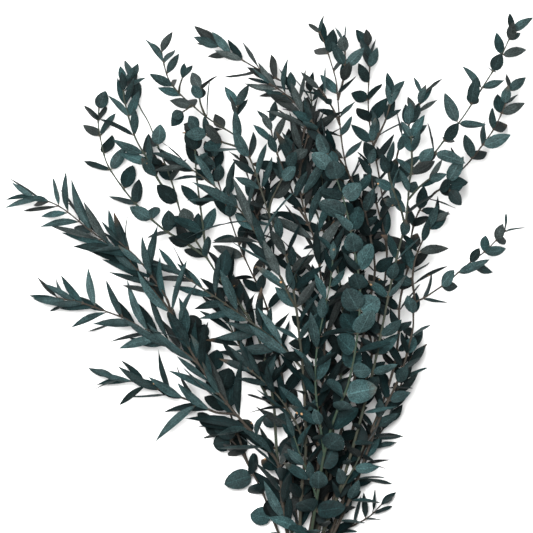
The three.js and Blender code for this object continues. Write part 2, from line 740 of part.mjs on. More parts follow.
const bunch = new THREE.Group();
const room = roomOverTable();
growBunch().forEach((pieces, number) => {
  const stem = STEMS[number];
  const joined = pieces.reduce((whole, piece) => whole.add(piece));
  bunch.add(meshOf(stem.name, joined.intersect(room), LEAF_INKS[stem.leaf]));
});
bunch.add(meshOf("rubber_band", rubberBand(), BAND_INK));

// The origin is the middle of the underside.
const middle = new THREE.Box3().setFromObject(bunch).getCenter(new Vector3());
bunch.position.set(-middle.x, -middle.y, 0);

const part = new THREE.Group();
part.add(bunch);

export default part;
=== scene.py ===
import math

import bpy
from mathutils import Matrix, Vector
from mathutils.bvhtree import BVHTree
from mathutils.kdtree import KDTree


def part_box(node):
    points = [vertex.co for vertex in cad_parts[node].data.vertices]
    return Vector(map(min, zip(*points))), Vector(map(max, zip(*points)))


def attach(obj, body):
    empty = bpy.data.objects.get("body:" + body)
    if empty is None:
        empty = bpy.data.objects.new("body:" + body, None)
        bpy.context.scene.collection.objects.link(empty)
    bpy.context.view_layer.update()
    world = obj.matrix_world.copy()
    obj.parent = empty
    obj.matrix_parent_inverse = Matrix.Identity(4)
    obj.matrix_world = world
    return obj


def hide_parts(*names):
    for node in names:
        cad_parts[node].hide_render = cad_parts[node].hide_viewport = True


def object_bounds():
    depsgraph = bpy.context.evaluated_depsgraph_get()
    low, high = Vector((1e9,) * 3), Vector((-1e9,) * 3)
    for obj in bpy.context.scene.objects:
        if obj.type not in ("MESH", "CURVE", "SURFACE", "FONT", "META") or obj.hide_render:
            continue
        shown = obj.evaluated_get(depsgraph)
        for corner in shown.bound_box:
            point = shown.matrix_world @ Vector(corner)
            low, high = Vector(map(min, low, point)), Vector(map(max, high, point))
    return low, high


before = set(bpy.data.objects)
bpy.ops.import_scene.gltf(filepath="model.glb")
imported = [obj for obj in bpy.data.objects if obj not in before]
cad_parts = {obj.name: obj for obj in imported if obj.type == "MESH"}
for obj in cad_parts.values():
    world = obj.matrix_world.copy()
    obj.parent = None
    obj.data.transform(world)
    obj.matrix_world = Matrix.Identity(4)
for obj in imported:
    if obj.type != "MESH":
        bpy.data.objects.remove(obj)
cad_low, cad_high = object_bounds()

# The bunch of preserved eucalyptus lies on the floor, and the camera looks straight down on it.
# The picture is 533 mm wide about half way up the bunch, and it leaves out the cut ends.
# The stems are drawn in millimetres from the place where the band holds them.
MM = 0.001
band_low, band_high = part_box("rubber_band")
BAND_PLACE = Vector(((band_low.x + band_high.x) / 2, (band_low.y + band_high.y) / 2, 0))
HALF_WAY_UP = 70
PICTURE_CENTRE = Vector((-40.5, 333.5, HALF_WAY_UP))
PICTURE_WIDTH = 0.533
CAMERA_HEIGHT = 4.0
SENSOR_WIDTH = 36

camera_data = bpy.data.cameras.new("camera")
camera_data.sensor_width = SENSOR_WIDTH
camera_data.lens = SENSOR_WIDTH * CAMERA_HEIGHT / PICTURE_WIDTH
camera_data.clip_end = 60
camera = bpy.data.objects.new("camera", camera_data)
camera.location = BAND_PLACE + PICTURE_CENTRE * MM + Vector((0, 0, CAMERA_HEIGHT))
bpy.context.scene.collection.objects.link(camera)
bpy.context.scene.camera = camera


# A plain white floor of matt paper, and the light of a studio: one large soft lamp nearly over the
# bunch, a weak one at the lower right, and a pale room all round. Colours are sRGB hex values.
def linear(hex_colour):
    channels = [int(hex_colour[i:i + 2], 16) / 255 for i in (1, 3, 5)]
    return [c / 12.92 if c <= 0.04045 else ((c + 0.055) / 1.055) ** 2.4 for c in channels] + [1]


def add_node(tree, kind, settings=(), stops=(), **inputs):
    """Adds a node with its settings, its colour stops, and its inputs' values or links."""
    node = tree.nodes.new(kind)
    for name, value in dict(settings).items():
        setattr(node, name, value)
    for i, (position, colour) in enumerate(stops):
        if i > 1:
            node.color_ramp.elements.new(position)
        node.color_ramp.elements[i].position = position
        node.color_ramp.elements[i].color = linear(colour)
    for name, value in inputs.items():
        socket = node.inputs[int(name[1:]) if name[1:].isdigit() else name.replace("_", " ")]
        if isinstance(value, bpy.types.Node):
            value = value.outputs[0]
        if isinstance(value, bpy.types.NodeSocket):
            tree.links.new(value, socket)
        else:
            socket.default_value = value
    return node


def new_material(name):
    material = bpy.data.materials.new(name)
    material.use_nodes = True
    material.node_tree.nodes.clear()
    return material, material.node_tree


paper, tree = new_material("matt_white_paper")
surface = add_node(
    tree, "ShaderNodeBsdfPrincipled", Base_Color=linear("#f7f7f6"), Roughness=0.9,
    Specular_IOR_Level=0.2,
)
add_node(tree, "ShaderNodeOutputMaterial", Surface=surface)
bpy.ops.mesh.primitive_plane_add(size=30)
floor = bpy.context.object
floor.name = "floor"
floor.data.materials.append(paper)

LAMPS = [
    ("key_lamp", (-0.2, 0.32, 2.3), 0.9, 135),
    ("fill_lamp", (0.9, -0.6, 1.8), 1.4, 2),
]
for name, place, size, power in LAMPS:
    lamp_data = bpy.data.lights.new(name, "AREA")
    lamp_data.size = size
    lamp_data.energy = power
    lamp = bpy.data.objects.new(name, lamp_data)
    lamp.location = place
    lamp.rotation_euler = (-lamp.location).to_track_quat("-Z", "Y").to_euler()
    lamp.visible_camera = False
    bpy.context.scene.collection.objects.link(lamp)

world = bpy.data.worlds.new("room")
bpy.context.scene.world = world
world.use_nodes = True
world.node_tree.nodes.clear()
room = add_node(world.node_tree, "ShaderNodeBackground", Color=linear("#f2f4f5"), Strength=0.08)
add_node(world.node_tree, "ShaderNodeOutputWorld", Surface=room)
bpy.context.scene.view_settings.view_transform = "Standard"

# The stems' lines, as the solids have them. through: where a stem passes through the band. cut:
# where it is cut off. route: its line beyond the band. fork: the point of that line which a side
# twig grows from. turn: how far the pairs are turned round it. bare: its length without leaves.
LOW_ROW, MIDDLE_ROW, TOP_ROW = 3.6, 7.7, 11.8
STEMS = [
    dict(
        name="front_round_leaf_stem", through=(-2.35, TOP_ROW), cut=-44,
        turn=70, leaf="round", bare=52, route=[
            (4, 60, 34), (10, 100, 54), (17, 145, 74), (28, 185, 90), (40, 215, 100),
            (47, 248, 109), (51, 282, 115), (52, 310, 118), (49, 335, 120), (45, 355, 120),
            (41, 378, 119), (35, 402, 117), (27, 425, 114), (19, 445, 110),
        ], twigs=[
            dict(fork=2, turn=20, leaf="slim", route=[
                (14, 170, 84), (10, 195, 90), (8, 225, 96), (10, 255, 100), (17, 290, 104),
                (23, 320, 106), (26, 350, 107),
            ]),
            dict(fork=1, turn=45, leaf="slim", route=[(3, 122, 63), (-6, 143, 70), (-13, 164, 74)]),
        ],
    ),
    dict(
        name="centre_left_stem", through=(-7.05, TOP_ROW), cut=-38,
        turn=35, leaf="slim", bare=46, route=[
            (-7, 60, 28), (-5, 110, 44), (-1, 150, 56), (-2, 190, 66), (-4, 230, 75),
            (-8, 267, 82), (-11, 293, 86), (-19, 337, 90), (-29, 364, 92), (-38, 386, 92),
            (-46, 410, 91), (-52, 428, 89), (-58, 443, 87), (-71, 463, 84), (-86, 473, 81),
            (-101, 483, 77), (-115, 495, 73), (-128, 507, 69), (-138, 520, 65), (-143, 535, 61),
            (-146, 550, 58),
        ], twigs=[
            dict(fork=6, turn=75, leaf="narrow", route=[
                (-18, 305, 92), (-25, 320, 98), (-36, 338, 102), (-46, 357, 105), (-58, 378, 106),
                (-70, 393, 105), (-83, 405, 103), (-98, 418, 99), (-115, 430, 94), (-128, 438, 90),
            ]),
            dict(fork=13, turn=40, leaf="slim", route=[(-73, 470, 87), (-71, 482, 90), (-69, 494, 91)]),
            dict(fork=4, turn=20, leaf="narrow", route=[
                (-14, 242, 74), (-28, 256, 71), (-43, 268, 68), (-58, 279, 65), (-72, 289, 62),
                (-86, 299, 60), (-101, 309, 58), (-116, 319, 56), (-129, 328, 54),
            ]),
            dict(fork=2, turn=55, leaf="narrow", route=[
                (-9, 172, 62), (-19, 190, 66), (-31, 206, 68), (-45, 220, 69), (-60, 232, 68),
            ]),
            dict(fork=15, turn=30, leaf="broad", route=[
                (-104, 490, 83), (-107, 500, 87), (-106, 512, 88),
            ]),
            dict(fork=17, turn=60, leaf="slim", route=[(-127, 514, 75), (-124, 523, 78)]),
            dict(fork=16, turn=75, leaf="broad", route=[(-119, 491, 80), (-125, 487, 84)]),
            dict(fork=9, turn=20, leaf="broad", route=[
                (-36, 398, 97), (-29, 413, 101), (-21, 428, 103), (-14, 442, 104),
            ]),
            dict(fork=12, turn=60, leaf="broad", route=[
                (-70, 452, 91), (-84, 457, 91), (-98, 463, 89), (-110, 471, 86),
            ]),
        ],
    ),
    dict(
        name="upper_right_stem", through=(2.35, TOP_ROW), cut=-46,
        turn=15, leaf="oval", bare=50, route=[
            (15, 60, 30), (30, 100, 46), (44, 145, 61), (56, 190, 73), (68, 240, 84),
            (78, 290, 92), (86, 330, 97), (92, 355, 99), (97, 375, 100), (100, 400, 100),
            (103, 425, 99), (112, 437, 98), (123, 443, 97), (137, 460, 94), (152, 478, 90),
            (167, 500, 85), (180, 520, 80), (190, 536, 75), (199, 554, 70), (206, 570, 66),
        ], twigs=[
            dict(fork=10, turn=60, leaf="oval", route=[
                (104, 445, 103), (103, 460, 105), (100, 475, 106),
            ]),
            dict(fork=1, turn=35, leaf="oval", route=[(40, 119, 54), (50, 137, 60), (57, 155, 64)]),
            dict(fork=9, turn=50, leaf="oval", route=[(107, 408, 105), (115, 416, 108), (122, 421, 109)]),
            dict(fork=8, turn=20, leaf="oval", route=[
                (93, 388, 105), (87, 404, 108), (82, 420, 109), (79, 436, 108),
            ]),
        ],
    ),
    dict(
        name="left_narrow_leaf_stem", through=(-4.7, MIDDLE_ROW), cut=-40,
        turn=60, leaf="narrow", bare=62, route=[
            (-9, 35, 13), (-20, 67, 22), (-25, 100, 31), (-29, 135, 40), (-46, 157, 47),
            (-71, 185, 54), (-91, 210, 58), (-108, 235, 60), (-121, 257, 60), (-136, 287, 58),
            (-158, 315, 55), (-180, 340, 52), (-218, 370, 46), (-251, 395, 40), (-276, 404, 35),
        ], twigs=[
            dict(fork=7, turn=30, leaf="narrow", route=[
                (-118, 244, 58), (-142, 259, 50), (-159, 267, 45), (-181, 280, 40),
                (-199, 287, 36), (-228, 297, 32), (-253, 302, 28),
            ]),
            dict(fork=5, turn=80, leaf="narrow", route=[
                (-92, 187, 46), (-109, 195, 40), (-128, 202, 35), (-145, 208, 31), (-168, 215, 27),
                (-196, 223, 24),
            ]),
            dict(fork=9, turn=50, leaf="narrow", route=[
                (-141, 301, 65), (-154, 322, 69), (-170, 342, 69), (-188, 358, 66),
            ]),
        ],
    ),
    dict(
        name="right_oval_leaf_stem", through=(7.05, TOP_ROW), cut=-42,
        turn=25, leaf="oval", bare=50, route=[
            (26, 60, 26), (44, 100, 36), (60, 145, 46), (75, 185, 54), (87, 210, 60),
            (95, 228, 64), (101, 250, 67), (106, 272, 70), (108, 297, 72), (117, 302, 72),
            (129, 310, 71), (141, 318, 69), (152, 328, 67), (164, 338, 65), (179, 349, 62),
            (190, 360, 59), (200, 370, 57),
        ], twigs=[
            dict(fork=8, turn=70, leaf="slim", route=[
                (107, 317, 78), (107, 335, 82), (111, 350, 85), (118, 365, 87), (127, 380, 88),
            ]),
        ],
    ),
    dict(
        name="top_centre_stem", through=(4.7, MIDDLE_ROW), cut=-36,
        turn=50, leaf="oval", bare=46, route=[
            (11, 60, 18), (20, 100, 28), (30, 150, 39), (42, 195, 48), (53, 245, 56),
            (62, 295, 62), (68, 330, 65), (64, 360, 67), (58, 388, 68), (50, 410, 69),
            (41, 428, 69), (36, 450, 69), (33, 475, 68), (31, 500, 67), (29, 520, 65),
            (24, 538, 63), (18, 557, 60), (12, 570, 57),
        ], twigs=[
            dict(fork=13, turn=10, leaf="oval", route=[
                (35, 515, 72), (38, 530, 75), (38, 545, 77), (37, 558, 78),
            ]),
            dict(fork=12, turn=65, leaf="slim", route=[(27, 489, 74), (19, 502, 77), (12, 512, 78)]),
            dict(fork=10, turn=30, leaf="oval", route=[
                (33, 440, 75), (22, 454, 78), (12, 467, 79), (4, 480, 78),
            ]),
        ],
    ),
    dict(
        name="right_thick_stem", through=(9.4, MIDDLE_ROW), cut=-48,
        turn=30, leaf="oval", bare=52, route=[
            (24, 60, 16), (38, 100, 26), (54, 140, 35), (70, 180, 43), (81, 210, 48),
            (88, 235, 51), (92, 265, 54), (93, 295, 56), (98, 320, 57), (104, 342, 58),
            (105, 365, 58), (112, 388, 58), (124, 403, 57), (142, 418, 55), (155, 430, 53),
            (166, 442, 51), (177, 456, 49), (187, 470, 47), (194, 483, 45), (200, 497, 43),
            (205, 512, 41),
        ], twigs=[
            dict(fork=1, turn=55, leaf="slim", route=[
                (52, 120, 22), (64, 145, 19), (75, 165, 17), (84, 177, 16),
            ]),
            dict(fork=0, turn=65, leaf="slim", route=[
                (36, 66, 13), (50, 72, 12), (64, 80, 12), (77, 93, 12),
            ]),
            dict(fork=3, turn=75, leaf="slim", route=[
                (84, 195, 38), (94, 212, 35), (102, 231, 33), (108, 252, 32),
            ]),
            dict(fork=12, turn=25, leaf="broad", route=[(130, 409, 63), (137, 411, 66), (144, 410, 67)]),
        ],
    ),
    dict(
        name="centre_narrow_leaf_stem", through=(0, MIDDLE_ROW), cut=-34,
        turn=45, leaf="narrow", bare=44, route=[
            (3, 60, 15), (10, 100, 23), (12, 140, 30), (14, 180, 36), (17, 230, 42), (18, 280, 46),
            (16, 308, 48), (12, 338, 50), (8, 360, 51), (1, 378, 52), (-5, 400, 53), (-7, 425, 54),
            (-3, 450, 57), (1, 468, 61), (-3, 483, 63), (-12, 497, 64), (-24, 508, 64),
            (-38, 517, 62),
        ], twigs=[
            dict(fork=11, turn=45, leaf="slim", route=[
                (-6, 450, 53), (-2, 470, 53), (-3, 487, 53), (-10, 505, 53), (-21, 517, 52),
                (-40, 527, 50), (-58, 537, 48), (-78, 549, 45), (-96, 560, 42),
            ]),
            dict(fork=9, turn=35, leaf="slim", route=[
                (-8, 393, 57), (-16, 412, 60), (-24, 432, 61), (-31, 450, 60), (-35, 466, 58),
                (-37, 480, 56),
            ]),
        ],
    ),
    dict(
        name="left_oval_leaf_stem", through=(-7.05, LOW_ROW), cut=-45,
        turn=65, leaf="broad", bare=60, route=[
            (-14, 60, 12), (-22, 95, 18), (-29, 135, 25), (-31, 160, 29), (-33, 192, 33),
            (-40, 230, 38), (-50, 265, 42), (-65, 292, 45), (-83, 315, 47), (-101, 343, 48),
            (-116, 367, 48), (-126, 385, 47), (-133, 410, 46), (-140, 430, 45), (-151, 458, 43),
            (-160, 480, 41), (-167, 492, 39), (-175, 510, 36), (-177, 525, 33),
        ], twigs=[
            dict(fork=9, turn=25, leaf="broad", route=[
                (-123, 358, 42), (-143, 370, 37), (-163, 387, 32), (-178, 403, 28),
                (-193, 423, 25), (-202, 438, 23), (-208, 460, 21), (-211, 480, 20),
                (-210, 495, 20),
            ]),
            dict(fork=9, turn=50, leaf="broad", route=[
                (-104, 372, 58), (-106, 388, 62), (-109, 411, 66), (-111, 430, 68),
                (-112, 450, 70), (-114, 465, 71),
            ]),
            dict(fork=12, turn=35, leaf="slim", route=[
                (-145, 414, 50), (-158, 438, 54), (-170, 458, 55), (-176, 473, 55),
                (-180, 488, 54), (-184, 505, 52), (-184, 520, 50),
            ]),
            dict(fork=4, turn=40, leaf="narrow", route=[
                (-46, 213, 37), (-59, 237, 41), (-71, 261, 43), (-82, 284, 44),
            ]),
        ],
    ),
    dict(
        name="top_right_stem", through=(7.05, LOW_ROW), cut=-41,
        turn=40, leaf="oval", bare=48, route=[
            (16, 60, 10), (28, 100, 16), (36, 135, 21), (47, 170, 25), (58, 210, 29),
            (67, 250, 32), (74, 290, 34), (79, 320, 35), (81, 350, 36), (79, 380, 37),
            (76, 405, 38), (72, 430, 38), (67, 455, 38), (63, 482, 37), (62, 505, 36),
            (63, 525, 35), (64, 545, 33), (62, 558, 32),
        ], twigs=[
            dict(fork=10, turn=15, leaf="slim", route=[
                (87, 422, 40), (90, 440, 42), (95, 460, 44), (104, 478, 45), (112, 492, 45),
                (117, 508, 44),
            ]),
            dict(fork=5, turn=60, leaf="oval", route=[
                (59, 280, 39), (53, 310, 43), (51, 340, 44), (55, 370, 44), (60, 395, 43),
            ]),
            dict(fork=8, turn=30, leaf="oval", route=[
                (77, 370, 44), (71, 393, 49), (66, 416, 51), (63, 438, 51),
            ]),
            dict(fork=12, turn=75, leaf="slim", route=[
                (73, 467, 43), (79, 480, 46), (83, 494, 47), (85, 508, 47),
            ]),
        ],
    ),
    dict(
        name="low_left_stem", through=(-9.4, MIDDLE_ROW), cut=-37,
        turn=30, leaf="round", bare=50, route=[
            (-20, 45, 8), (-30, 67, 9), (-37, 85, 10), (-46, 108, 12), (-57, 128, 14),
            (-68, 148, 16), (-82, 163, 17), (-95, 172, 18),
        ], twigs=[
            dict(fork=4, turn=55, leaf="round", route=[
                (-65, 150, 21), (-74, 176, 26), (-84, 203, 29), (-95, 230, 30), (-105, 252, 30),
                (-112, 270, 29),
            ]),
        ],
    ),
    dict(
        name="back_left_stem", through=(-2.35, LOW_ROW), cut=-47,
        turn=55, leaf="oval", bare=46, route=[
            (-8, 60, 8), (-13, 100, 13), (-16, 140, 17), (-20, 190, 20), (-28, 240, 22),
            (-36, 278, 23), (-46, 308, 24), (-57, 330, 25), (-68, 355, 25), (-75, 375, 25),
            (-83, 400, 24), (-91, 425, 22), (-95, 445, 21),
        ], twigs=[
            dict(fork=6, turn=20, leaf="slim", route=[
                (-43, 338, 30), (-46, 365, 32), (-53, 395, 33), (-58, 420, 33), (-65, 440, 32),
            ]),
            dict(fork=4, turn=50, leaf="narrow", route=[
                (-41, 257, 27), (-53, 274, 32), (-64, 291, 35), (-74, 308, 37), (-82, 323, 37),
            ]),
            dict(fork=8, turn=80, leaf="slim", route=[
                (-60, 368, 33), (-50, 384, 38), (-42, 402, 40), (-36, 420, 40),
            ]),
        ],
    ),
    dict(
        name="back_centre_stem", through=(2.35, LOW_ROW), cut=-39,
        turn=65, leaf="slim", bare=46, route=[
            (9, 60, 8), (17, 100, 12), (24, 150, 16), (32, 200, 19), (37, 250, 21), (36, 300, 22),
            (30, 340, 23), (22, 385, 24), (15, 425, 25), (10, 460, 25), (6, 490, 25), (4, 512, 24),
        ], twigs=[
            dict(fork=4, turn=30, leaf="oval", route=[
                (44, 280, 24), (49, 320, 26), (48, 360, 27), (44, 395, 27), (42, 420, 26),
            ]),
            dict(fork=6, turn=45, leaf="oval", route=[
                (21, 360, 29), (11, 385, 33), (2, 410, 35), (-8, 436, 36), (-16, 456, 35),
            ]),
            dict(fork=3, turn=70, leaf="oval", route=[
                (19, 225, 25), (8, 250, 29), (-1, 280, 31), (-8, 310, 32), (-14, 335, 32),
            ]),
        ],
    ),
]

# A stem is straight in the band and 9 mm beyond its middle. The solids have a ring of corners
# about every 34 mm. Lines are measured in 200 parts and forks are sought in 400, as in the solids.
STEM_RADIUS, TWIG_RADIUS, TIP_RADIUS = 2.1, 1.3, 0.9
STRAIGHT_END = 9
WOOD_STEP = 34
TWIG_BARE = 12
LINE_PARTS = 200
FORK_PARTS = 400
DIRECTION_STEP = 1e-4
FADE_ALONG_TWIG = 4


class Wood:
    """A stem or a twig: a smooth line through points, read by a share of its length."""

    def __init__(self, points, leaf, turn, bare, straight, radius):
        self.leaf, self.turn, self.bare, self.radius = leaf, turn, bare, radius
        self.points = [2 * points[0] - points[1], *points, 2 * points[-1] - points[-2]]
        spots = [self.spot(i / LINE_PARTS) for i in range(LINE_PARTS + 1)]
        self.run = [0.0]
        for before, after in zip(spots, spots[1:]):
            self.run.append(self.run[-1] + (after - before).length)
        self.length = self.run[-1]
        steps = max(2, round((self.length - straight) / WOOD_STEP))
        start = straight / self.length
        rings = [start + (1 - start) * i / steps for i in range(steps + 1)]
        self.rings = [0] + rings if straight else rings
        self.root_shift = Vector()

    def spot(self, t):
        """The point at t of a centripetal Catmull-Rom spline."""
        place = t * (len(self.points) - 3)
        i = min(int(place), len(self.points) - 4)
        w = place - i
        a, b, c, d = self.points[i:i + 4]
        ab, bc, cd = ((q - p).length ** 0.5 for p, q in ((a, b), (b, c), (c, d)))
        m = ((b - a) / ab - (c - a) / (ab + bc) + (c - b) / bc) * bc
        n = ((c - b) / bc - (d - b) / (bc + cd) + (d - c) / cd) * bc
        return b + m * w + (3 * (c - b) - 2 * m - n) * w * w + (2 * (b - c) + m + n) * w ** 3

    def t_of(self, share):
        target = min(max(share, 0), 1) * self.length
        low, high = 0, LINE_PARTS
        while high - low > 1:
            middle = (low + high) // 2
            low, high = (middle, high) if self.run[middle] <= target else (low, middle)
        return (low + (target - self.run[low]) / (self.run[high] - self.run[low])) / LINE_PARTS

    def frame_at(self, share):
        """The point, and the directions along the wood, level across it and upward from it."""
        t = self.t_of(share)
        before, after = max(0, t - DIRECTION_STEP), min(1, t + DIRECTION_STEP)
        along = (self.spot(after) - self.spot(before)).normalized()
        across = along.cross(Vector((0, 0, 1))).normalized()
        return self.spot(t), along, across, across.cross(along)

    def inside(self, share):
        """The point in the middle of the wood, which the solids run straight between rings."""
        after = next((i for i, ring in enumerate(self.rings) if ring >= share and i > 0), -1)
        before, after = self.rings[after - 1], self.rings[after]
        start, end = self.spot(self.t_of(before)), self.spot(self.t_of(after))
        return start.lerp(end, (share - before) / (after - before))

    def smooth(self, share):
        """The point of the smooth wood, which starts in the middle of the smooth stem."""
        return self.spot(self.t_of(share)) + self.root_shift * (1 - share) ** FADE_ALONG_TWIG


def grow_wood(stem):
    x, z = stem["through"]
    handle = [(x, stem["cut"], z), (x, -STRAIGHT_END, z), (x, STRAIGHT_END, z)]
    points = [Vector(p) for p in handle + stem["route"]]
    main = Wood(points, stem["leaf"], stem["turn"], stem["bare"] - stem["cut"],
                STRAIGHT_END - stem["cut"], STEM_RADIUS)
    woods = [main]
    for twig in stem["twigs"]:
        fork = Vector(stem["route"][twig["fork"]])
        shares = (i / FORK_PARTS for i in range(FORK_PARTS + 1))
        share = min(shares, key=lambda s: (main.inside(s) - fork).length)
        points = [main.inside(share)] + [Vector(p) for p in twig["route"]]
        side = Wood(points, twig["leaf"], twig["turn"], TWIG_BARE, 0, TWIG_RADIUS)
        side.root_shift = main.smooth(share) - main.inside(share)
        woods.append(side)
    return woods


# The leaves grow in pairs, each pair turned a quarter from the one before. Their seeded places
# are the solids' own: where a solid blade has its tip shows which of its positions it took.

# length, width: a grown leaf's. pitch: from pair to pair. lean: degrees from the twig. base, tip:
# the powers that shape its outline. young: the last pair's size. sway, curl, twist: its bends.
# stiff: how little it turns to lie level. group: one pair in so many is in the solids.
LEAVES = {
    "narrow": dict(length=54, width=9.5, pitch=14, lean=36, base=0.9, tip=1.1, young=0.55,
                   sway=0.3, curl=0.3, twist=45, stiff=1.1, group=4),
    "slim": dict(length=38, width=10.5, pitch=17, lean=46, base=0.8, tip=1.05, young=0.64,
                 sway=0.2, curl=0.22, twist=22, stiff=1.4, group=4),
    "oval": dict(length=30, width=12, pitch=20, lean=50, base=0.65, tip=0.95, young=0.75,
                 sway=0.1, curl=0.18, twist=22, stiff=1.7, group=3),
    "broad": dict(length=30, width=15, pitch=22, lean=50, base=0.6, tip=0.85, young=0.7,
                  sway=0.06, curl=0.16, twist=22, stiff=1.6, group=3),
    "round": dict(length=31, width=21, pitch=22, lean=50, base=0.5, tip=0.68, young=0.65,
                  sway=0.04, curl=0.14, twist=22, stiff=1.2, group=3),
}
# How far a leaf strays either way: its turn, lean and roll in degrees, its wave in millimetres,
# the others as a share. A few leaves have fallen. The pairs at a tip are smaller and still closed.
UNEVEN = dict(turn=28, lean=18, roll=24, pitch=0.25, length=0.22, width=0.18, wave=0.5)
FALLEN = 0.06
FIRST_PAIR_FROM_TIP = 2.5
GROWTH_PER_PAIR = 0.06
YOUNG_WIDTH_POWER = 0.6
BUD_OPENING, OPENING_PER_PAIR = 0.55, 0.15
CURLED_BACK = 0.03
LEAST_FOLD, MORE_FOLD = 0.1, 0.28
# A leaf that finds its place taken is turned round its twig and leaned, in degrees, in this order.
TURNS_TRIED = [
    (0, 0), (14, 0), (-14, 0), (0, 12), (0, -12), (28, 6), (-28, 6), (22, -14), (-22, -14),
    (50, 8), (-50, 8), (80, 0), (-80, 0),
]
REACH_OF_TABLE = 9
LEAST_LIFT = 1
STRONGEST_CURL = 0.42
UP = Vector((0, 0, 1))
CORE_ROWS = (0.15, 0.35, 0.68)
CORE_HALF_THICKNESS = 0.5
CORE_SPARE = 0.3
BEYOND_STALK = 0.3
BODY_STEP = 12
BODY_SIDES = 5
SAME_PLACE = 0.25


def draws_from(seed):
    """Draws between 0 and 1, the same ones as the solids' for the same seed."""
    state = seed
    mask = 0xFFFFFFFF
    while True:
        state = (state + 0x6D2B79F5) & mask
        mixed = ((state ^ (state >> 15)) * (state | 1)) & mask
        mixed ^= (mixed + (mixed ^ (mixed >> 7)) * (mixed | 61)) & mask
        yield (mixed ^ (mixed >> 14)) / 4294967296


def opened(pair):
    """How far a pair has opened and moved away from the bud at the tip of its twig."""
    return min(1, BUD_OPENING + OPENING_PER_PAIR * pair)


def leaf_places(wood, stem_number, wood_number):
    """Each leaf's pair, counted from the tip, its side, its distance from the tip and its seed."""
    from_tip, pair = FIRST_PAIR_FROM_TIP, 0
    while from_tip < wood.length - wood.bare:
        seed = 1 + stem_number * 100000 + wood_number * 10000 + pair * 10
        for side in (0, 1):
            if next(draws_from(seed + 2 + side)) > FALLEN:
                yield pair, side, from_tip, seed + side
        uneven = 1 + (next(draws_from(seed + 4)) - 0.5) * 2 * UNEVEN["pitch"]
        from_tip += LEAVES[wood.leaf]["pitch"] * opened(pair) * uneven
        pair += 1


class Leaf:
    """How one leaf stands: its root, its three directions, its size, its bends and its tint."""

    def __init__(self, wood, pair, side, from_tip, seed, turned, leaned):
        draws = draws_from(seed)
        self.kind = kind = LEAVES[wood.leaf]
        self.kind_name = wood.leaf

        def spread(reach):
            return (next(draws) - 0.5) * 2 * reach

        share = 1 - from_tip / wood.length
        _, stem_along, across, above = wood.frame_at(share)
        turn = math.radians(wood.turn + 90 * pair + 180 * side + spread(UNEVEN["turn"]) + turned)
        lean = math.radians(kind["lean"] * opened(pair) + spread(UNEVEN["lean"]) + leaned)
        outward = across * math.cos(turn) + above * math.sin(turn)
        self.along = stem_along * math.cos(lean) + outward * math.sin(lean)
        face = stem_along * math.sin(lean) - outward * math.cos(lean)
        across = self.along.cross(face)

        settled = next(draws) ** kind["stiff"]
        lift = (UP - self.along * self.along.z).normalized()
        to_face = math.atan2(lift.dot(across), lift.dot(face))
        if abs(to_face) > math.pi / 2:
            to_face -= math.copysign(math.pi, to_face)
        roll = to_face * settled + math.radians(spread(UNEVEN["roll"]))
        self.face = face * math.cos(roll) + across * math.sin(roll)
        self.across = self.along.cross(self.face)

        self.root = wood.inside(share)
        self.root_shift = wood.smooth(share) - self.root
        young = min(1, kind["young"] + GROWTH_PER_PAIR * pair)
        self.length = kind["length"] * young * (1 + spread(UNEVEN["length"]))
        self.width_scale = young ** YOUNG_WIDTH_POWER * (1 + spread(UNEVEN["width"]))
        self.sway = spread(kind["sway"])
        self.curl = -CURLED_BACK + spread(kind["curl"])
        self.rest_on_table()
        self.twist = math.radians(spread(kind["twist"]))
        self.fold = LEAST_FOLD + MORE_FOLD * next(draws) ** 2
        self.wave = spread(UNEVEN["wave"])
        self.tint, self.dry, self.age = next(draws), next(draws), next(draws)

    def rest_on_table(self):
        """Curls a leaf that nearly reaches the table, so that its tip lies on it."""
        tip = self.point(1, 0, 0)
        lift = self.length * self.face.z
        if tip.z < REACH_OF_TABLE and abs(lift) > LEAST_LIFT:
            needed = self.curl - tip.z / lift
            slope = self.along.z + 2 * needed * self.face.z + 2 * self.sway * self.across.z
            if abs(needed) < STRONGEST_CURL and slope <= 0:
                self.curl = needed

    def point(self, share, aside, out):
        """The place at a share of the length, moved aside on the blade and out from its face."""
        bend = self.length * share * share
        return (self.root + self.along * (self.length * share)
                + self.across * (self.sway * bend + aside) + self.face * (self.curl * bend + out))

    def half_width(self, share):
        kind = self.kind
        widest = kind["base"] / (kind["base"] + kind["tip"])
        rise = (max(share, 0) / widest) ** kind["base"]
        fall = (max(1 - share, 0) / (1 - widest)) ** kind["tip"]
        return kind["width"] / 2 * rise * fall * self.width_scale

    def core(self, start=0):
        """A light body of the blade from start on, to test what it would run into.

        Its corners are the root, three rows of three, and the tip.
        """
        corners = [self.point(start, 0, 0)]
        out = CORE_HALF_THICKNESS
        for row in CORE_ROWS:
            share = start + (1 - start) * row
            width = self.half_width(share) + CORE_SPARE
            corners += [self.point(share, 0, -out), self.point(share, width, out),
                        self.point(share, -width, out)]
        corners.append(self.point(1, 0, 0))
        faces = [(0, 1 + i, 1 + (i + 1) % 3) for i in range(3)]
        for row in (1, 4):
            for i in range(3):
                j = (i + 1) % 3
                faces += [(row + i, row + 3 + i, row + 3 + j), (row + i, row + 3 + j, row + j)]
        faces += [(7 + i, 10, 7 + (i + 1) % 3) for i in range(3)]
        return Body(corners, faces)


class Body:
    """A closed shape with its box, which can be tested against others."""

    def __init__(self, corners, faces):
        self.corners, self.faces = corners, faces
        self.tree = BVHTree.FromPolygons(corners, faces)
        self.low = [min(c[i] for c in corners) for i in range(3)]
        self.high = [max(c[i] for c in corners) for i in range(3)]

    def meets(self, other):
        apart = any(self.low[i] > other.high[i] or other.low[i] > self.high[i] for i in range(3))
        return not apart and bool(self.tree.overlap(other.tree))


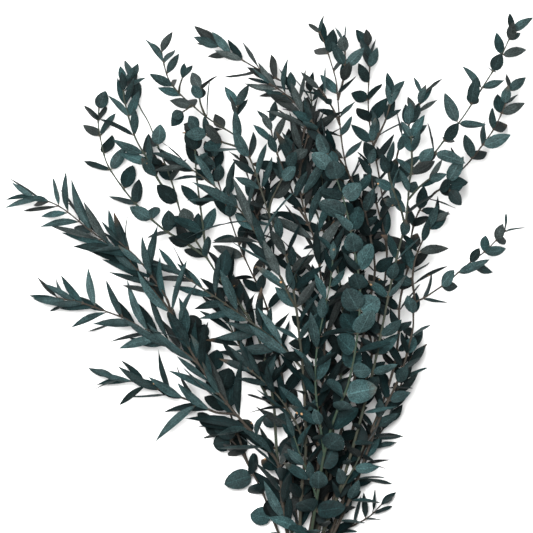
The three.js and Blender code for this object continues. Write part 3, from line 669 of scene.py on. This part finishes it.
def wood_body(wood):
    """A light body of the wood."""
    corners, faces, sides = [], [], BODY_SIDES
    steps = max(4, round(wood.length / BODY_STEP))
    for i in range(steps + 1):
        share = i / steps
        _, _, across, above = wood.frame_at(share)
        radius = wood.radius + (TIP_RADIUS - wood.radius) * share
        for k in range(sides):
            angle = 2 * math.pi * k / sides
            outward = across * math.cos(angle) + above * math.sin(angle)
            corners.append(wood.inside(share) + outward * radius)
    for i in range(steps):
        for k in range(sides):
            a, b = i * sides + k, i * sides + (k + 1) % sides
            faces.append((a, b, b + sides, a + sides))
    return Body(corners, faces)


stems = [(stem["name"], grow_wood(stem)) for stem in STEMS]
wood_bodies = [[wood_body(wood) for wood in woods] for _, woods in stems]
leaves = [[] for _ in stems]
slots_left = []
for number, (name, woods) in enumerate(stems):
    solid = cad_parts[name].data.vertices
    corners = KDTree(len(solid))
    for i, vertex in enumerate(solid):
        corners.insert((vertex.co - BAND_PLACE) / MM, i)
    corners.balance()
    for wood_number, wood in enumerate(woods):
        for place in leaf_places(wood, number, wood_number):
            if place[0] % LEAVES[wood.leaf]["group"]:
                slots_left.append((number, wood, place))
                continue
            for tried in TURNS_TRIED:
                leaf = Leaf(wood, *place, *tried)
                if corners.find(leaf.point(1, 0, 0))[2] < SAME_PLACE:
                    leaves[number].append(leaf)
                    break

# The pairs that the solids leave out grow here: each leaf takes the first of its positions that
# is over the floor, inside the solids' box and clear of all wood and leaves that are there.
CLEAR_OF_FLOOR = 0.1
limit_low = (cad_low - BAND_PLACE) / MM
limit_high = (cad_high - BAND_PLACE) / MM
whole_bodies = [[leaf.core() for leaf in group] for group in leaves]
outer_bodies = [[leaf.core(start=BEYOND_STALK) for leaf in group] for group in leaves]
for number, wood, place in slots_left:
    for tried in TURNS_TRIED:
        leaf = Leaf(wood, *place, *tried)
        whole, outer = leaf.core(), leaf.core(start=BEYOND_STALK)
        if whole.low[2] < CLEAR_OF_FLOOR or any(
            whole.low[i] < limit_low[i] or whole.high[i] > limit_high[i] for i in range(3)
        ):
            continue
        if any(outer.meets(b) for b in wood_bodies[number] + outer_bodies[number]):
            continue
        if any(whole.meets(b) for n in range(len(stems)) if n != number
               for b in wood_bodies[n] + whole_bodies[n]):
            continue
        leaves[number].append(leaf)
        whole_bodies[number].append(whole)
        outer_bodies[number].append(outer)
        break

# Painted shade: a leaf that sees little of the sky, deep in the heap, is given a darker colour,
# as the heap's shade baked in. Rays upward from its middle show how much it sees: one straight
# up, six at 30 degrees from it and eight at 60.
corners, faces = [], []
for body in [b for group in wood_bodies + whole_bodies for b in group]:
    faces += [[i + len(corners) for i in face] for face in body.faces]
    corners += body.corners
heap = BVHTree.FromPolygons(corners, faces)
RAYS = [UP]
for ring, tilt in ((6, 30), (8, 60)):
    for i in range(ring):
        around, tilted = 2 * math.pi * i / ring, math.radians(tilt)
        RAYS.append(Vector((math.sin(tilted) * math.cos(around),
                            math.sin(tilted) * math.sin(around), math.cos(tilted))))
CLEAR_OF_OWN_BLADE = 3
HEAP_REACH = 90
for leaf in [leaf for group in leaves for leaf in group]:
    middle = leaf.point(0.5, 0, 0)
    hits = [heap.ray_cast(middle + ray * CLEAR_OF_OWN_BLADE, ray, HEAP_REACH)[0] for ray in RAYS]
    # The share of rays that the heap stops is how much painted shade the leaf gets.
    leaf.inside = sum(hit is not None for hit in hits) / len(RAYS)

# Preserved leaf: a live leaf soaked with glycerine and dark teal dye. It stays matt and supple,
# a little darker in clouds and finely speckled, with a pale midrib and side veins, a greyer
# underside, a brown stalk, and a few brown tips and pale brown spots.
preserved_leaf, tree = new_material("preserved_leaf")
leaf_facts = add_node(tree, "ShaderNodeAttribute", {"attribute_name": "leaf"})
facts = add_node(tree, "ShaderNodeSeparateXYZ", Vector=leaf_facts.outputs["Vector"])
tint, dry = facts.outputs[0], facts.outputs[1]
greyed = add_node(tree, "ShaderNodeAttribute", {"attribute_name": "greyed"}).outputs["Fac"]
place_on_blade = add_node(tree, "ShaderNodeSeparateXYZ", Vector=add_node(tree, "ShaderNodeUVMap"))
across_blade, along_blade = place_on_blade.outputs[0], place_on_blade.outputs[1]
where = add_node(tree, "ShaderNodeTexCoord").outputs["Object"]

# Each leaf took the dye a little differently, the oldest turned violet grey, and undersides are
# greyer than the upper faces. The tint also carries painted shade: leaves deep in the heap are
# darkened towards the near black ends of these ramps.
teal = add_node(tree, "ShaderNodeValToRGB", Fac=tint, stops=(
    (0, "#010404"), (0.25, "#09191a"), (0.5, "#293e3f"), (0.75, "#385152"), (1, "#435b5c")))
violet_grey = add_node(tree, "ShaderNodeValToRGB", Fac=tint, stops=(
    (0, "#0a0b0b"), (0.5, "#303433"), (1, "#484b49")))
colour = add_node(
    tree, "ShaderNodeMix", {"data_type": "RGBA"}, i0=greyed, i6=teal, i7=violet_grey,
).outputs[2]

# Clouds of deeper dye are about 12 mm across. The pale speckle, finer on a real leaf, is drawn
# 1.4 mm across so that it shows.
clouds = add_node(tree, "ShaderNodeTexNoise", Vector=where, Scale=80, Detail=3, Roughness=0.6)
cloudy = add_node(tree, "ShaderNodeMapRange", i0=clouds, i1=0.4, i2=0.65, i3=1.05, i4=0.62)
speckle = add_node(tree, "ShaderNodeTexNoise", Vector=where, Scale=720, Detail=4, Roughness=0.75)
speckled = add_node(tree, "ShaderNodeMapRange", i0=speckle, i1=0.38, i2=0.62, i3=0.56, i4=1.66)
shade = add_node(tree, "ShaderNodeMath", {"operation": "MULTIPLY"}, i0=cloudy, i1=speckled)

# The midrib is 0.6 mm wide, and the side veins leave it at a slant, seven to a side, 4 mm apart.
# They are raised and paler.
off_centre = add_node(tree, "ShaderNodeMath", {"operation": "SUBTRACT"}, i0=across_blade, i1=0.5)
aside = add_node(tree, "ShaderNodeMath", {"operation": "ABSOLUTE"}, i0=off_centre)
midrib = add_node(tree, "ShaderNodeMapRange", i0=aside, i1=0.012, i2=0.045, i3=0.7, i4=0.0)
slant = add_node(
    tree, "ShaderNodeMath", {"operation": "MULTIPLY_ADD"}, i0=aside, i1=-0.5, i2=along_blade)
vein_place = add_node(tree, "ShaderNodeMath", {"operation": "PINGPONG"}, i0=slant, i1=0.07)
veins = add_node(tree, "ShaderNodeMapRange", i0=vein_place, i1=0.0, i2=0.012, i3=0.42, i4=0.0)
ribs = add_node(tree, "ShaderNodeMath", {"operation": "MAXIMUM"}, i0=midrib, i1=veins)
shade = add_node(
    tree, "ShaderNodeMath", {"operation": "MULTIPLY_ADD"}, i0=ribs, i1=shade, i2=shade)
colour = add_node(tree, "ShaderNodeVectorMath", {"operation": "SCALE"}, i0=colour, Scale=shade)

# The stalk, some tips and a few spots 2 mm across have dried to brown.
stalk = add_node(tree, "ShaderNodeMapRange", i0=along_blade, i1=0.05, i2=0.12, i3=0.7, i4=0.0)
is_dry = add_node(tree, "ShaderNodeMapRange", i0=dry, i1=0.92, i2=1.0, i3=0.0, i4=1.0)
near_tip = add_node(tree, "ShaderNodeMapRange", i0=along_blade, i1=0.7, i2=1.0, i3=0.0, i4=0.8)
dry_tip = add_node(tree, "ShaderNodeMath", {"operation": "MULTIPLY"}, i0=is_dry, i1=near_tip)
spots = add_node(tree, "ShaderNodeTexVoronoi", Vector=where, Scale=60)
in_spot = add_node(tree, "ShaderNodeMapRange", i0=spots, i1=0.05, i2=0.1, i3=0.9, i4=0.0)
spotted = add_node(tree, "ShaderNodeMapRange", i0=dry, i1=0.86, i2=0.88, i3=0.0, i4=1.0)
spot_share = add_node(tree, "ShaderNodeMath", {"operation": "MULTIPLY"}, i0=in_spot, i1=spotted)
dried = add_node(tree, "ShaderNodeMath", {"operation": "MAXIMUM"}, i0=stalk, i1=dry_tip)
colour = add_node(
    tree, "ShaderNodeMix", {"data_type": "RGBA"}, i0=dried, i6=colour, i7=linear("#564639"),
).outputs[2]
colour = add_node(
    tree, "ShaderNodeMix", {"data_type": "RGBA"}, i0=spot_share, i6=colour, i7=linear("#b08a64"),
).outputs[2]

grain = add_node(tree, "ShaderNodeMath", {"operation": "ADD"}, i0=ribs, i1=speckle)
bumps = add_node(tree, "ShaderNodeBump", Strength=0.5, Distance=0.0003, Height=grain)
surface = add_node(
    tree, "ShaderNodeBsdfPrincipled", Base_Color=colour, Roughness=0.6, IOR=1.45,
    Specular_IOR_Level=0.1, Normal=bumps,
)
add_node(tree, "ShaderNodeOutputMaterial", Surface=surface)

# A blade is a ball of eight sides drawn out flat, so it is closed, with two sharp edges, a midrib
# on each face and a round stalk. It is modelled once for each kind of leaf, one unit long. The
# copies are folded along the midrib, waved at their edges and twisted towards the tip.
ROWS = [0, 0.06, 0.16, 0.3, 0.46, 0.62, 0.79, 0.92, 1]
STALK = 1
STALK_HALF_WIDTH = 0.55
BLADE_HALF_THICKNESS = 0.2
BLADE_SIDES = 8
RIB_HEIGHT = 0.15
FOLD_POWER, FOLD_MIDDLE = 1.4, 0.4
WAVES, WAVE_START = 9, 6
TWIST_START = 0.2
LOWEST = 0.02
SMOOTH_BELOW = math.radians(50)
FADE_ALONG_LEAF = 2
# How dark the leaves are, how strongly painted shade darkens those deep in the heap, and how
# grey they are. The share of old leaves is larger on three stems, and the front stem has none.
LEAST_TINT, MORE_TINT = 0.27, 0.38
PAINTED_SHADE_POWER = 1.4
UNDERSIDE_GREYED, OLD_GREYED = 0.25, 0.8
OLD_SHARE = 0.08
OLD_SHARES = {
    "centre_narrow_leaf_stem": 0.45, "centre_left_stem": 0.2, "back_left_stem": 0.25,
    "front_round_leaf_stem": 0,
}


def model_blade(kind_name):
    bpy.ops.object.select_all(action="DESELECT")
    bpy.ops.mesh.primitive_uv_sphere_add(segments=BLADE_SIDES, ring_count=len(ROWS) - 1, radius=1)
    blade = bpy.context.object
    blade.name = "blade_" + kind_name
    mesh = blade.data
    for vertex in mesh.vertices:
        row = round(math.acos(max(-1, min(1, -vertex.co.z))) / math.pi * (len(ROWS) - 1))
        ends = row in (0, len(ROWS) - 1)
        angle = 0 if ends else math.atan2(vertex.co.y, vertex.co.x)
        vertex.co = (0 if ends else math.cos(angle), ROWS[row], 0 if ends else math.sin(angle))
    bpy.ops.object.mode_set(mode="EDIT")
    bpy.ops.mesh.select_all(action="SELECT")
    bpy.ops.mesh.normals_make_consistent(inside=False)
    bpy.ops.object.mode_set(mode="OBJECT")
    mapped = mesh.uv_layers.active.data
    for polygon in mesh.polygons:
        sides = [mesh.vertices[v].co.x for v in polygon.vertices]
        for loop, vertex in zip(polygon.loop_indices, polygon.vertices):
            co = mesh.vertices[vertex].co
            ends = co.y in (0, 1)
            aside = sum(sides) / (len(sides) - 1) if ends else co.x
            mapped[loop].uv = (0.5 + aside / 2, co.y)
    mesh.attributes.new("greyed", "FLOAT", "POINT")
    mesh.attributes.new("leaf", "FLOAT_VECTOR", "POINT")
    return blade


blades = {kind_name: model_blade(kind_name) for kind_name in LEAVES}


def grow_blade(leaf, stem_name):
    """A copy of the blade of this leaf's kind, bent to the leaf's own place and form."""
    copy = blades[leaf.kind_name].copy()
    copy.data = copy.data.copy()
    copy.name = stem_name + "_leaf"
    bpy.context.scene.collection.objects.link(copy)
    greyed = copy.data.attributes["greyed"].data
    facts = copy.data.attributes["leaf"].data
    # The leaf's tint is darkened by painted shade where the heap hides its sky.
    tint = (LEAST_TINT + MORE_TINT * leaf.tint) * (1 - leaf.inside ** PAINTED_SHADE_POWER)
    old = leaf.age < OLD_SHARES.get(stem_name, OLD_SHARE)
    for i, vertex in enumerate(copy.data.vertices):
        side, share, facing = vertex.co
        blade_share = (share - ROWS[STALK]) / (1 - ROWS[STALK])
        on_blade = blade_share > 0
        underneath = facing < -0.1
        width = leaf.half_width(blade_share) if on_blade else 0
        if 0 < share < 1:
            width = max(width, STALK_HALF_WIDTH * (1 - share))
        out = facing * (BLADE_HALF_THICKNESS if on_blade else STALK_HALF_WIDTH)
        if on_blade:
            out += leaf.fold * width * (abs(side) ** FOLD_POWER - FOLD_MIDDLE)
            out += leaf.wave * math.sin(share * WAVES + leaf.tint * WAVE_START) * side
        if underneath and abs(side) < 0.1:
            out -= RIB_HEIGHT
        angle = leaf.twist * max(share - TWIST_START, 0)
        aside = side * width
        place = leaf.point(share, aside * math.cos(angle) - out * math.sin(angle),
                           out * math.cos(angle) + aside * math.sin(angle))
        place += leaf.root_shift * (1 - share) ** FADE_ALONG_LEAF
        place.z = max(place.z, LOWEST)
        vertex.co = place * MM + BAND_PLACE
        facts[i].vector = (tint, leaf.dry, 0)
        greyed[i].value = OLD_GREYED if old else UNDERSIDE_GREYED if underneath else 0
    return copy


def select(pieces):
    """Selects these objects alone, with the first one active."""
    bpy.ops.object.select_all(action="DESELECT")
    for piece in pieces:
        piece.select_set(True)
    bpy.context.view_layer.objects.active = pieces[0]


def join_pieces(pieces, name):
    select(pieces)
    if len(pieces) > 1:
        bpy.ops.object.join()
    whole = bpy.context.object
    whole.name = name
    return whole


for (name, _), group in zip(stems, leaves):
    foliage = join_pieces([grow_blade(leaf, name) for leaf in group], name + "_leaves")
    foliage.data.materials.clear()
    foliage.data.materials.append(preserved_leaf)
    bpy.ops.object.shade_smooth_by_angle(angle=SMOOTH_BELOW)
    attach(foliage, "root")
    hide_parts(name)
for blade in blades.values():
    bpy.data.objects.remove(blade)

# Young bark: smooth and grey brown, lighter low on the stems, and green on some of them. Its paler
# patches are 4 mm across. The cut ends show pale wood, and its pores, finer on real wood, are
# drawn 0.7 mm across so that they show.
young_bark, tree = new_material("young_bark")
age = add_node(tree, "ShaderNodeAttribute", {"attribute_name": "age"}).outputs["Fac"]
green = add_node(tree, "ShaderNodeAttribute", {"attribute_name": "green"}).outputs["Fac"]
where = add_node(tree, "ShaderNodeTexCoord").outputs["Object"]
brown_bark = add_node(tree, "ShaderNodeValToRGB", Fac=age, stops=(
    (0, "#27231f"), (0.35, "#28241f"), (0.7, "#2c2823"), (1, "#312d26")))
green_bark = add_node(tree, "ShaderNodeValToRGB", Fac=age, stops=(
    (0, "#27382d"), (0.6, "#28382c"), (1, "#2c3126")))
colour = add_node(
    tree, "ShaderNodeMix", {"data_type": "RGBA"}, i0=green, i6=brown_bark, i7=green_bark,
).outputs[2]
patches = add_node(tree, "ShaderNodeTexNoise", Vector=where, Scale=260, Detail=3)
patchy = add_node(tree, "ShaderNodeMapRange", i0=patches, i1=0.45, i2=0.7, i3=0.0, i4=0.45)
colour = add_node(
    tree, "ShaderNodeMix", {"data_type": "RGBA"}, i0=patchy, i6=colour, i7=linear("#433b31"),
).outputs[2]
bumps = add_node(tree, "ShaderNodeBump", Strength=0.4, Distance=0.0003, Height=patches)
surface = add_node(
    tree, "ShaderNodeBsdfPrincipled", Base_Color=colour, Roughness=0.65,
    Specular_IOR_Level=0.2, Normal=bumps,
)
add_node(tree, "ShaderNodeOutputMaterial", Surface=surface)

cut_wood, tree = new_material("cut_wood")
where = add_node(tree, "ShaderNodeTexCoord").outputs["Object"]
pores = add_node(tree, "ShaderNodeTexNoise", Vector=where, Scale=1500, Detail=2)
colour = add_node(
    tree, "ShaderNodeValToRGB", Fac=pores, stops=((0.35, "#7c6446"), (0.7, "#a99370")))
surface = add_node(tree, "ShaderNodeBsdfPrincipled", Base_Color=colour, Roughness=0.8)
add_node(tree, "ShaderNodeOutputMaterial", Surface=surface)

# Each stem or twig is a round rod with a ring of eight corners every 3.5 mm. It thins towards
# its tip and swells a little at its leaves. A twig's bark is as young as a stem's upper third.
WOOD_TIP_RADIUS = 0.6
TAPER = 1.25
SWELLING, SWELLING_SPREAD = 0.25, 3
WOOD_DETAIL = 3.5
PROFILE_SIDES = 8
TWIG_AGE = 0.35
GREEN_STEMS = {
    "front_round_leaf_stem": 1.0, "upper_right_stem": 0.5, "back_centre_stem": 0.7,
    "centre_left_stem": 0.3, "left_oval_leaf_stem": 0.6,
}


def wood_piece(wood, places, green):
    """One stem or twig, with the distances of its leaves from its tip."""
    curve = bpy.data.curves.new("wood", "CURVE")
    curve.dimensions = "3D"
    curve.bevel_depth = MM
    curve.bevel_resolution = (PROFILE_SIDES - 4) // 2
    steps = max(4, round(wood.length / WOOD_DETAIL))
    spline = curve.splines.new("POLY")
    spline.points.add(steps)
    for i, point in enumerate(spline.points):
        share = i / steps
        point.co = (*(wood.smooth(share) * MM + BAND_PLACE), 1)
        from_tip = (1 - share) * wood.length
        swollen = sum(math.exp(-(from_tip - d) ** 2 / SWELLING_SPREAD) for d in places)
        thin = WOOD_TIP_RADIUS + (wood.radius - WOOD_TIP_RADIUS) * (1 - share) ** TAPER
        point.radius = thin + SWELLING * swollen
    rod = bpy.data.objects.new("wood", curve)
    bpy.context.scene.collection.objects.link(rod)
    select([rod])
    bpy.ops.object.convert(target="MESH")
    rod = bpy.context.object
    age = rod.data.attributes.new("age", "FLOAT", "POINT")
    greens = rod.data.attributes.new("green", "FLOAT", "POINT")
    assert len(rod.data.vertices) == (steps + 1) * PROFILE_SIDES
    for i in range(len(rod.data.vertices)):
        along = (i // PROFILE_SIDES) / steps
        age.data[i].value = (1 - along) * (1 if wood.radius == STEM_RADIUS else TWIG_AGE)
        greens.data[i].value = green
    bpy.ops.object.mode_set(mode="EDIT")
    bpy.ops.mesh.select_all(action="SELECT")
    bpy.ops.mesh.fill_holes(sides=0)
    bpy.ops.mesh.normals_make_consistent(inside=False)
    bpy.ops.object.mode_set(mode="OBJECT")
    return rod


for number, (name, woods) in enumerate(stems):
    rods = []
    for wood_number, wood in enumerate(woods):
        distances = sorted({place[2] for place in leaf_places(wood, number, wood_number)})
        rods.append(wood_piece(wood, distances, GREEN_STEMS.get(name, 0)))
    piece = join_pieces(rods, name + "_wood")
    piece.data.materials.clear()
    piece.data.materials.append(young_bark)
    piece.data.materials.append(cut_wood)
    for polygon in piece.data.polygons:
        cut_end = len(polygon.vertices) == PROFILE_SIDES and polygon.normal.y < -0.9
        polygon.material_index = int(cut_end)
    bpy.ops.object.shade_smooth_by_angle(angle=SMOOTH_BELOW)
    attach(piece, "root")
    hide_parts(name)

# Natural rubber band: matt and tan, dusted with powder in patches of 2 mm. It is wound round the
# stems five times.
natural_rubber, tree = new_material("natural_rubber")
where = add_node(tree, "ShaderNodeTexCoord").outputs["Object"]
powder = add_node(tree, "ShaderNodeTexNoise", Vector=where, Scale=500, Detail=3)
colour = add_node(
    tree, "ShaderNodeValToRGB", Fac=powder, stops=((0.3, "#74583a"), (0.7, "#8c6e4a")))
surface = add_node(
    tree, "ShaderNodeBsdfPrincipled", Base_Color=colour, Roughness=0.7, Specular_IOR_Level=0.4)
add_node(tree, "ShaderNodeOutputMaterial", Surface=surface)

BAND_TURNS = 5
BAND_TURN_PITCH = 1.55
BAND_SLANT = 0.5 / 12
BAND_HALF_THICKNESS = 0.58
BAND_CLEARANCE = 0.3
STEM_PITCH = 4.7
ARC_STEP = 10


def band_turn(number):
    """One turn of the band: an arc of 60 degrees round each of the six outer stems."""
    # Where each of these stems is, in stem pitches and rows, and which way its arc bulges.
    corners = [(1.5, LOW_ROW, -60), (2, MIDDLE_ROW, 0), (1.5, TOP_ROW, 60),
               (-1.5, TOP_ROW, 120), (-2, MIDDLE_ROW, 180), (-1.5, LOW_ROW, 240)]
    reach = STEM_RADIUS + BAND_CLEARANCE + BAND_HALF_THICKNESS
    curve = bpy.data.curves.new("turn", "CURVE")
    curve.dimensions = "3D"
    curve.bevel_depth = BAND_HALF_THICKNESS * MM
    curve.bevel_resolution = 3
    spline = curve.splines.new("POLY")
    points = []
    for x, z, middle in corners:
        for step in range(-3, 4):
            angle = math.radians(middle + step * ARC_STEP)
            points.append((x * STEM_PITCH + reach * math.cos(angle), z + reach * math.sin(angle)))
    spline.points.add(len(points) - 1)
    slant = BAND_SLANT * (-1) ** number
    for point, (x, z) in zip(spline.points, points):
        y = (number - (BAND_TURNS - 1) / 2) * BAND_TURN_PITCH + slant * x
        point.co = (*(Vector((x, y, z)) * MM + BAND_PLACE), 1)
    spline.use_cyclic_u = True
    turn = bpy.data.objects.new("turn", curve)
    bpy.context.scene.collection.objects.link(turn)
    return turn


turns = [band_turn(number) for number in range(BAND_TURNS)]
select(turns)
bpy.ops.object.convert(target="MESH")
rubber = join_pieces(turns, "wound_rubber_band")
rubber.data.materials.clear()
rubber.data.materials.append(natural_rubber)
bpy.ops.object.shade_smooth()
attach(rubber, "root")
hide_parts("rubber_band")
